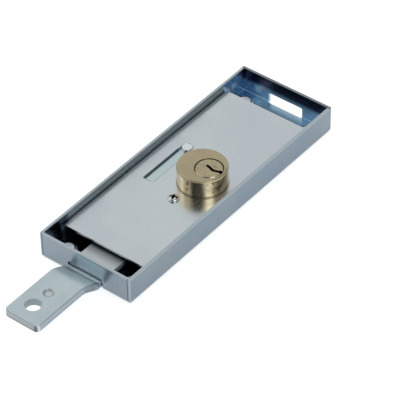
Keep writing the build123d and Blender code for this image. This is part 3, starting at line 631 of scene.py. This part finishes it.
class CoilTree(NodeTree):
    """Geometry Nodes tree that winds a wire into a coil, closed at its ends where asked."""

    STEPS_PER_TURN = 32
    INPUTS = {
        "Coil Radius": ("NodeSocketFloat", 0.001),
        "Wire Radius": ("NodeSocketFloat", 0.0001),
        "Length": ("NodeSocketFloat", 0.004),
        "Turns": ("NodeSocketFloat", 7.0),
        "Closed Share": ("NodeSocketFloat", 0.14),
        "Closed Rise": ("NodeSocketFloat", 0.0003),
        "Wire Sides": ("NodeSocketInt", 10),
        "Turn": ("NodeSocketVector", (0.0, 0.0, 0.0)),
        "Place": ("NodeSocketVector", (0.0, 0.0, 0.0)),
        "Finish": ("NodeSocketMaterial", None),
    }

    def __init__(self) -> None:
        """Build the tree."""
        super().__init__(bpy.data.node_groups.new("wound_coil", "GeometryNodeTree"))
        self.sockets: dict[str, str] = {}
        interface = self.tree.interface
        interface.new_socket(name="Geometry", in_out="INPUT", socket_type="NodeSocketGeometry")
        for name, (kind, value) in self.INPUTS.items():
            socket = interface.new_socket(name=name, in_out="INPUT", socket_type=kind)
            if value is not None:
                socket.default_value = value
            self.sockets[name] = socket.identifier
        interface.new_socket(name="Geometry", in_out="OUTPUT", socket_type="NodeSocketGeometry")
        self.wire()

    def wire(self) -> None:
        """Wind the wire: a flat spiral, raised by a rule along its length, with a section swept."""
        given = self.node("NodeGroupInput").outputs
        flat = self.node("GeometryNodeCurveSpiral", links={
            "Resolution": self.STEPS_PER_TURN, "Rotations": given["Turns"],
            "Start Radius": given["Coil Radius"], "End Radius": given["Coil Radius"],
            "Height": 0.0})
        along = self.node("GeometryNodeSplineParameter").outputs["Factor"]
        share, rise = given["Closed Share"], given["Closed Rise"]
        rest = self.math("SUBTRACT", 1.0, share)
        first = self.span(along, 0.0, share, 0.0, rise, "LINEAR")
        open_length = self.math("SUBTRACT", given["Length"], self.math("MULTIPLY", rise, 2.0))
        middle = self.span(along, share, rest, 0.0, open_length, "LINEAR")
        last = self.span(along, rest, 1.0, 0.0, rise, "LINEAR")
        height = self.math("ADD", self.math("ADD", first, middle), last)
        lift = self.node("ShaderNodeCombineXYZ", links={2: height})
        raised = self.node("GeometryNodeSetPosition", links={
            "Geometry": flat.outputs[0], "Offset": lift.outputs[0]})
        section = self.node("GeometryNodeCurvePrimitiveCircle", {"mode": "RADIUS"}, {
            "Resolution": given["Wire Sides"], "Radius": given["Wire Radius"]})
        tube = self.node("GeometryNodeCurveToMesh", links={
            "Curve": raised.outputs[0], "Profile Curve": section.outputs[0], "Fill Caps": True})
        smooth = self.node("GeometryNodeSetShadeSmooth", links={0: tube.outputs[0]})
        placed = self.node("GeometryNodeTransform", links={
            "Geometry": smooth.outputs[0], "Translation": given["Place"],
            "Rotation": given["Turn"]})
        real = self.node("GeometryNodeRealizeInstances", links={0: placed.outputs[0]})
        finish = self.node("GeometryNodeSetMaterial", links={
            "Geometry": real.outputs[0], "Material": given["Finish"]})
        self.node("NodeGroupOutput", links={0: finish.outputs[0]})

    def make(self, name: str, values: dict[str, object]) -> bpy.types.Mesh:
        """Wind one coil as a plain mesh.

        Args:
            name: Name of the mesh.
            values: The tree's inputs by name.

        Returns:
            The mesh, in its final place.
        """
        blank = add_object(f"{name}_blank", bpy.data.meshes.new(f"{name}_blank"))
        modifier = blank.modifiers.new("wound", "NODES")
        modifier.node_group = self.tree
        for key, value in values.items():
            modifier[self.sockets[key]] = value
        graph = bpy.context.evaluated_depsgraph_get()
        mesh = bpy.data.meshes.new_from_object(blank.evaluated_get(graph))
        mesh.name = name
        blank.modifiers.remove(modifier)
        bpy.data.objects.remove(blank)
        return mesh


@dataclass
class FixingScrew:
    """Pan head screw that holds the cylinder: turned head with a cross recess, and a wound thread.

    Attributes:
        finish: Its metal.
        foot: Height of the shank's end.
        seat: Height of the head's flat underside.
        edge: Height where the head's crown starts.
        top: Height of the crown.
        head_radius: Radius of the head.
        core_radius: Radius of the shank without its thread.
        crest_radius: Radius over the thread.
        thread_pitch: Rise of one turn of the thread.
        thread_end_share: Share of the thread that its flat ends take up.
        thread_end_rise: Rise of a flat end.
        thread_sides: Sides of the thread's section.
        recess_length: Length of an arm of the cross, from end to end.
        recess_width: Width of an arm.
        recess_depth: Depth of the recess.
        recess_foot_share: Size of the recess at its foot, against that at the crown.
        recess_turn: How far the cross is turned.
        sharp_angle: Least angle between faces that stays a sharp edge.
        rings: Rings of faces in the crown.
        sides: Sides of each ring.
    """

    finish: MetalFinish = NICKEL_SCREW
    foot: float = 0.0086
    seat: float = 0.0110
    edge: float = 0.01135
    top: float = 0.0127
    head_radius: float = 0.0028
    core_radius: float = 0.00125
    crest_radius: float = 0.00145
    thread_pitch: float = 0.0005
    thread_end_share: float = 0.01
    thread_end_rise: float = 0.00001
    thread_sides: int = 4
    recess_length: float = 0.0040
    recess_width: float = 0.0012
    recess_depth: float = 0.0014
    recess_foot_share: float = 0.65
    recess_turn: float = math.radians(20.0)
    sharp_angle: float = math.radians(35.0)
    rings: int = 9
    sides: int = 64

    def build(self) -> None:
        """Turn the head, press the recess, wind the thread and join them."""
        material = self.finish.material()
        turned = self.turned_blank()
        cutter = self.cross()
        cut = turned.modifiers.new("recess", "BOOLEAN")
        cut.operation = "DIFFERENCE"
        cut.solver = "EXACT"
        cut.object = cutter
        graph = bpy.context.evaluated_depsgraph_get()
        head = bpy.data.meshes.new_from_object(turned.evaluated_get(graph))
        for spare in (turned, cutter):
            bpy.data.objects.remove(spare)
        joined = bmesh.new()
        joined.from_mesh(head)
        joined.from_mesh(self.thread(material))
        mesh = bpy.data.meshes.new("fixing_screw_look")
        joined.to_mesh(mesh)
        joined.free()
        mesh.materials.clear()
        mesh.materials.append(material)
        for face in mesh.polygons:
            face.material_index = 0
            face.use_smooth = True
        mesh.set_sharp_from_angle(angle=self.sharp_angle)
        screw = add_object("fixing_screw_look", mesh)
        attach(screw, "housing")
        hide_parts("fixing_screw")
        LOG.info("fixing screw turned with %d faces", len(mesh.polygons))

    def on_ring(self, radius: float, height: float, step: int) -> Point:
        """Find a point on a ring round the screw's axis.

        Args:
            radius: Radius of the ring.
            height: Height of the ring.
            step: How many sides the point is from the first one.

        Returns:
            The point.
        """
        turn = step * math.tau / self.sides
        return (SCREW_AXIS[0] + radius * math.cos(turn), SCREW_AXIS[1] + radius * math.sin(turn),
                height)

    def turned_blank(self) -> bpy.types.Object:
        """Turn the head and the core of the shank on a lathe.

        Returns:
            The turned blank, closed at both ends.
        """
        profile = [(self.core_radius, self.foot), (self.core_radius, self.seat),
                   (self.head_radius, self.seat)]
        for index in range(self.rings):
            turn = index * math.pi / 2 / self.rings
            profile.append((self.head_radius * math.cos(turn),
                            self.edge + (self.top - self.edge) * math.sin(turn)))
        turned = bmesh.new()
        loops = [[turned.verts.new(self.on_ring(radius, height, step))
                  for step in range(self.sides)] for radius, height in profile]
        for lower, upper in zip(loops, loops[1:]):
            for step in range(self.sides):
                after = (step + 1) % self.sides
                turned.faces.new((lower[step], lower[after], upper[after], upper[step]))
        for loop, height in ((loops[0], self.foot), (loops[-1], self.top)):
            middle = turned.verts.new((*SCREW_AXIS, height))
            for step in range(self.sides):
                turned.faces.new((middle, loop[step], loop[(step + 1) % self.sides]))
        bmesh.ops.recalc_face_normals(turned, faces=turned.faces)
        mesh = bpy.data.meshes.new("screw_blank")
        turned.to_mesh(mesh)
        turned.free()
        return add_object("screw_blank", mesh)

    def cross(self) -> bpy.types.Object:
        """Shape the punch of the cross recess.

        Returns:
            The punch, in its place over the head.
        """
        long, wide = self.recess_length / 2, self.recess_width / 2
        arm = ((long, -wide), (long, wide), (wide, wide))
        outline = [self.quarter_turned(corner, quarter) for quarter in range(4) for corner in arm]
        punch = bmesh.new()
        loops = []
        for share, height in ((self.recess_foot_share, -self.recess_depth),
                              (2.0 - self.recess_foot_share, self.recess_depth)):
            loops.append([punch.verts.new((x * share, y * share, height)) for x, y in outline])
        punch.faces.new(loops[0])
        punch.faces.new(loops[1])
        for index in range(len(outline)):
            after = (index + 1) % len(outline)
            punch.faces.new((loops[0][index], loops[0][after], loops[1][after], loops[1][index]))
        bmesh.ops.recalc_face_normals(punch, faces=punch.faces)
        mesh = bpy.data.meshes.new("cross_punch")
        punch.to_mesh(mesh)
        punch.free()
        turn = Matrix.Rotation(self.recess_turn, 4, "Z")
        mesh.transform(Matrix.Translation((*SCREW_AXIS, self.top)) @ turn)
        return add_object("cross_punch", mesh)

    def quarter_turned(self, corner: Spot, quarters: int) -> Spot:
        """Turn a corner of the cross's outline by quarter turns.

        Args:
            corner: The corner.
            quarters: How many quarter turns.

        Returns:
            The turned corner.
        """
        x, y = corner
        for _ in range(quarters):
            x, y = -y, x
        return x, y

    def thread(self, material: bpy.types.Material) -> bpy.types.Mesh:
        """Wind the thread round the shank.

        Args:
            material: The screw's finish.

        Returns:
            The thread's mesh.
        """
        ridge = self.crest_radius - self.core_radius
        length = self.seat - self.foot - 2 * ridge
        return CoilTree().make("screw_thread", {
            "Coil Radius": self.core_radius, "Wire Radius": ridge, "Length": length,
            "Turns": length / self.thread_pitch, "Closed Share": self.thread_end_share,
            "Closed Rise": self.thread_end_rise, "Wire Sides": self.thread_sides,
            "Place": (*SCREW_AXIS, self.foot + ridge), "Finish": material})


@dataclass
class PinSprings:
    """The four springs behind the driver pins, wound with closed ends.

    Attributes:
        finish: Their metal.
        coil_radius: Radius of the coil, to the middle of the wire.
        wire_radius: Radius of the wire.
        pin_end: Where along Y a spring meets its driver pin.
        cap_end: Where along Y it meets its chamber cap.
        first_height: Height of the first spring.
        pitch: Distance from one spring down to the next.
        turns: Turns of a spring.
        closed_rise: Rise of a closed turn, against the wire's radius.
        wire_sides: Sides of the wire's section.
        lie: Turn that lays a spring along Y.
        pressed_share: Share of its length that a spring keeps when it is pressed. It is not used.
        count: How many there are.
    """

    finish: MetalFinish = SPRING_STEEL
    coil_radius: float = 0.00085
    wire_radius: float = 0.00015
    pin_end: float = -0.002219
    cap_end: float = 0.00212
    first_height: float = 0.01825
    pitch: float = 0.0027333
    turns: float = 7.0
    closed_rise: float = 2.1
    wire_sides: int = 10
    lie: Point = (-math.pi / 2, 0.0, 0.0)
    pressed_share: float = 0.65
    count: int = 4

    def build(self) -> None:
        """Wind each spring and set it in for the plain one."""
        material = self.finish.material()
        tree = CoilTree()
        for index in range(self.count):
            height = self.first_height - index * self.pitch
            mesh = tree.make(f"closed_spring_{index + 1}", {
                "Coil Radius": self.coil_radius, "Wire Radius": self.wire_radius,
                "Length": self.cap_end - self.pin_end - 2 * self.wire_radius,
                "Turns": self.turns, "Closed Share": 1.0 / self.turns,
                "Closed Rise": self.closed_rise * self.wire_radius,
                "Wire Sides": self.wire_sides, "Turn": self.lie,
                "Place": (0.0, self.pin_end + self.wire_radius, height), "Finish": material})
            spring = add_object(f"closed_spring_{index + 1}", mesh)
            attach(spring, "housing")
            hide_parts(f"pin_spring_{index + 1}")
            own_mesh(spring)
            LOG.info("%s wound with %d faces", spring.name, len(mesh.polygons))


@dataclass
class Housing:
    """Folded tray, recessed cover plate, snap ring and fixing screw."""

    tray: MetalFinish = TRAY_ZINC
    cover: MetalFinish = COVER_ZINC
    ring: MetalFinish = RING_BRASS
    screw: FixingScrew = field(default_factory=FixingScrew)

    def build(self) -> None:
        """Dress the pieces and make the fixing screw."""
        dress("housing_tray", self.tray.material())
        dress("cover_plate", self.cover.material())
        dress("snap_ring", self.ring.material())
        self.screw.build()


@dataclass
class SlidingBolt:
    """Cranked bolt with the slider plate, its rivets and the guide stud."""

    bolt: MetalFinish = BOLT_ZINC
    slider: MetalFinish = SLIDER_ZINC
    rivets: MetalFinish = RIVET_STEEL

    def build(self) -> None:
        """Dress the pieces."""
        dress("bolt", self.bolt.material())
        dress("slider_plate", self.slider.material())
        steel = self.rivets.material()
        for node in ("front_slider_rivet", "rear_slider_rivet", "guide_stud"):
            dress(node, steel)


@dataclass
class KeyCylinder:
    """Cylinder body, its plug with the pinion, and the pin stacks."""

    body: MetalFinish = SATIN_BRASS
    plug: MetalFinish = PLUG_BRASS
    pinion: MetalFinish = PINION_STEEL
    clip: MetalFinish = CLIP_STEEL
    pins: MetalFinish = PIN_BRASS
    springs: PinSprings = field(default_factory=PinSprings)

    def build(self) -> None:
        """Dress the pieces and wind the springs."""
        dress("cylinder_body", self.body.material())
        dress("cylinder_plug", self.plug.material())
        dress("pinion", self.pinion.material())
        dress("pinion_clip", self.clip.material())
        brass = self.pins.material()
        for stack in range(1, self.springs.count + 1):
            for part in ("key_pin", "driver_pin", "chamber_cap"):
                dress(f"{part}_{stack}", brass)
        self.springs.build()


@dataclass(frozen=True)
class Standing:
    """Something that stands round the lock and faces it.

    Attributes:
        name: Its name.
        azimuth: Degrees from +X towards +Y.
        elevation: Degrees above the floor.
        distance: Metres from the lock.
    """

    name: str
    azimuth: float
    elevation: float
    distance: float

    def place(self) -> Matrix:
        """Find its place.

        Returns:
            A matrix whose -Z axis looks at the lock.
        """
        turn, lift = math.radians(self.azimuth), math.radians(self.elevation)
        across = math.cos(lift)
        out = Vector((math.cos(turn) * across, math.sin(turn) * across, math.sin(lift)))
        facing = (-out).to_track_quat("-Z", "Y").to_matrix().to_4x4()
        return Matrix.Translation(out * self.distance) @ facing


@dataclass(frozen=True)
class Card(Standing):
    """A flat board that the metal reflects.

    Attributes:
        width: Its width.
        height: Its height.
        brightness: How bright it looks, where 1 is white.
    """

    width: float
    height: float
    brightness: float


@dataclass(frozen=True)
class Lamp(Standing):
    """A square soft lamp.

    Attributes:
        size: Side of the square.
        radiance: Brightness of its face, where 1 is white.
    """

    size: float
    radiance: float


@dataclass
class Studio:
    """Floor, boards, lamp and camera.

    Attributes:
        camera_place: Where the camera stands.
        camera_right: Direction of the picture's right side.
        camera_down: Direction of the picture's lower side.
        camera_view: Direction that the camera looks in.
        lens: Focal length, in millimetres.
        sensor: Width of the sensor, in millimetres.
        clip: Nearest and farthest distance that the camera shows.
        floor_half: Half of the floor's side.
        floor_level: Height of the floor.
        floor_colour: Colour of the floor.
        floor_glow: Light of its own that the floor shows to reflections.
        floor_seen_glow: Light of its own that it shows to the camera.
        sky: Even light that falls on the lock from all round, where 1 is white.
        cards: The boards.
        back_light: The lamp.
    """

    camera_place: Point = (-0.70922, -0.58176, 0.80902)
    camera_right: Point = (0.61941, -0.78492, -0.01547)
    camera_down: Point = (-0.52841, -0.40226, -0.74764)
    camera_view: Point = (0.58061, 0.47127, -0.66392)
    lens: float = 230.1
    sensor: float = 36.0
    clip: Span = (0.01, 50.0)
    floor_half: float = 4.0
    floor_level: float = -0.0001
    floor_colour: Colour = (0.90, 0.90, 0.90)
    floor_glow: float = 0.56
    floor_seen_glow: float = 0.68
    sky: float = 0.62
    cards: tuple[Card, ...] = (
        Card("right_flag", 327.0, 42.0, 1.1, 1.0, 0.9, 0.30),
        Card("side_flag", 283.0, 42.0, 1.1, 0.6, 0.9, 0.30),
        Card("front_strip", 249.0, 42.0, 1.1, 0.46, 0.9, 1.75),
        Card("near_flag", 191.0, 45.0, 1.1, 1.0, 0.78, 0.0),
        Card("left_flag", 143.0, 42.0, 1.1, 0.66, 0.9, 0.6),
        Card("fill_strip", 114.0, 42.0, 1.1, 0.34, 0.9, 1.25),
    )
    back_light: Lamp = Lamp("back_softbox", 39.0, 58.0, 1.3, 1.1, 0.55)

    def build(self) -> None:
        """Set up everything that isn't the lock."""
        self.floor()
        for card in self.cards:
            self.board(card)
        self.world()
        self.lamp(self.back_light)
        self.camera()
        scene = bpy.context.scene
        scene.view_settings.view_transform = "Standard"

    def floor(self) -> None:
        """Lay a pale floor that looks white, keeps the lock's shadow and is clear from below."""
        floor = add_object("floor", rectangle("floor", self.floor_half, self.floor_half,
                                              self.floor_level))
        tree = ShaderTree("floor")
        path = tree.node("ShaderNodeLightPath").outputs
        seen = tree.math("MULTIPLY", path["Is Camera Ray"], self.floor_seen_glow)
        mirrored = tree.math("MAXIMUM", path["Is Glossy Ray"], path["Is Transmission Ray"])
        mirrored = tree.math("MULTIPLY", mirrored, self.floor_glow)
        paper = tree.node("ShaderNodeBsdfDiffuse", Color=self.floor_colour)
        glow = tree.node("ShaderNodeEmission", Strength=tree.math("MAXIMUM", seen, mirrored))
        both = tree.node("ShaderNodeAddShader", links={0: paper.outputs[0], 1: glow.outputs[0]})
        side = tree.node("ShaderNodeNewGeometry").outputs["Backfacing"]
        clear = tree.node("ShaderNodeBsdfTransparent")
        top = tree.node("ShaderNodeMixShader", links={
            0: side, 1: both.outputs[0], 2: clear.outputs[0]})
        tree.feed(tree.output.inputs["Surface"], top.outputs[0])
        floor.data.materials.append(tree.material)

    def board(self, card: Card) -> None:
        """Stand a board up, seen by reflections alone.

        Args:
            card: The board.
        """
        mesh = rectangle(card.name, card.width / 2, card.height / 2)
        mesh.transform(card.place())
        made = add_object(card.name, mesh)
        tree = ShaderTree(card.name)
        glow = tree.node("ShaderNodeEmission", Strength=card.brightness)
        tree.feed(tree.output.inputs["Surface"], glow.outputs[0])
        made.data.materials.append(tree.material)
        made.visible_camera = False
        made.visible_diffuse = False
        made.visible_shadow = False
        made.visible_transmission = False

    def world(self) -> None:
        """Give the studio its even light, white to the camera and to reflections."""
        world = bpy.data.worlds.new("studio")
        world.use_nodes = True
        bpy.context.scene.world = world
        tree = NodeTree(world.node_tree)
        path = tree.node("ShaderNodeLightPath").outputs
        either = tree.math("MAXIMUM", path["Is Camera Ray"], path["Is Glossy Ray"])
        level = tree.span(either, 0.0, 1.0, self.sky, 1.0, "LINEAR")
        background = tree.node("ShaderNodeBackground", Strength=level)
        tree.node("ShaderNodeOutputWorld", links={0: background.outputs[0]})

    def lamp(self, lamp: Lamp) -> None:
        """Hang a lamp that reflections don't see.

        Args:
            lamp: The lamp.
        """
        light = bpy.data.lights.new(lamp.name, "AREA")
        light.size = lamp.size
        light.energy = math.pi * lamp.size * lamp.size * lamp.radiance
        made = add_object(lamp.name, light)
        made.matrix_world = lamp.place()
        made.visible_glossy = False

    def camera(self) -> None:
        """Stand the camera where the photograph was taken from."""
        data = bpy.data.cameras.new("camera")
        data.lens = self.lens
        data.sensor_width = self.sensor
        data.clip_start, data.clip_end = self.clip
        made = add_object("camera", data)
        back, up = -Vector(self.camera_view), -Vector(self.camera_down)
        turn = Matrix((self.camera_right, up, back)).transposed()
        made.matrix_world = Matrix.Translation(self.camera_place) @ turn.to_4x4()
        bpy.context.scene.camera = made


def main() -> None:
    """Build the lock's looks and its studio."""
    logging.basicConfig(level=logging.INFO, format="%(message)s")
    Housing().build()
    SlidingBolt().build()
    KeyCylinder().build()
    Studio().build()


if __name__ == "__main__":
    main()
